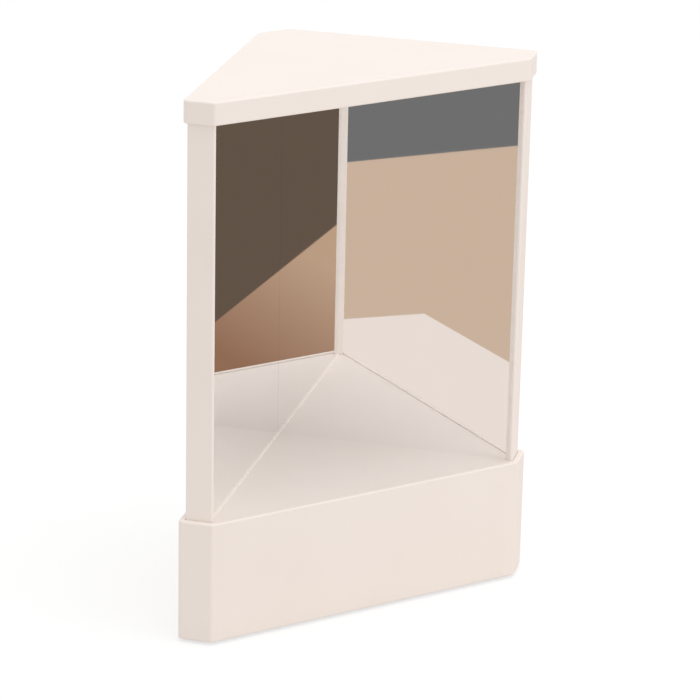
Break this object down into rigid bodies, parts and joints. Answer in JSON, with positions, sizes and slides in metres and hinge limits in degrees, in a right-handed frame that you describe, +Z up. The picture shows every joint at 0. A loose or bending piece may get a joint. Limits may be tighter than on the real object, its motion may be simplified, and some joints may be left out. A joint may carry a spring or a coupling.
{
  "type": "non-reversing mirror",
  "caption": "Free-standing desk mirror with two glasses at a right angle behind an open front, on a tall cut-cornered base with a matching cap, showing a true, unreversed view.",
  "frame": {"origin": "middle of the object's box, on the surface that it stands on", "axes": "+Z up, +Y from the open front to the seam at the rear, +X to the viewer's right"},
  "size_m": [0.1694, 0.088, 0.2348],
  "materials": {
    "frame_plastic": "warm white moulded plastic, fine matt texture",
    "board_plastic": "warm white plastic board, smooth",
    "mirror_glass": "first-surface mirror coating on flat glass",
    "foam_tape": "closed-cell foam tape",
    "foot_rubber": "matt black rubber",
    "screw_steel": "zinc plated steel"
  },
  "bodies": {
    "root": {"base_shell": "frame_plastic", "bottom_cover": "frame_plastic", "top_cap": "frame_plastic", "left_post": "frame_plastic", "right_post": "frame_plastic", "rear_post": "frame_plastic", "left_back_panel": "board_plastic", "right_back_panel": "board_plastic", "top_plate": "board_plastic", "left_mirror": "mirror_glass", "right_mirror": "mirror_glass", "left_mirror_tapes": "foam_tape", "right_mirror_tapes": "foam_tape", "cap_tapes": "foam_tape", "front_left_foot": "foot_rubber", "front_right_foot": "foot_rubber", "rear_foot": "foot_rubber", "bottom_cover_screws": "screw_steel", "post_screws": "screw_steel", "top_plate_screws": "screw_steel"}
  },
  "joints": []
}
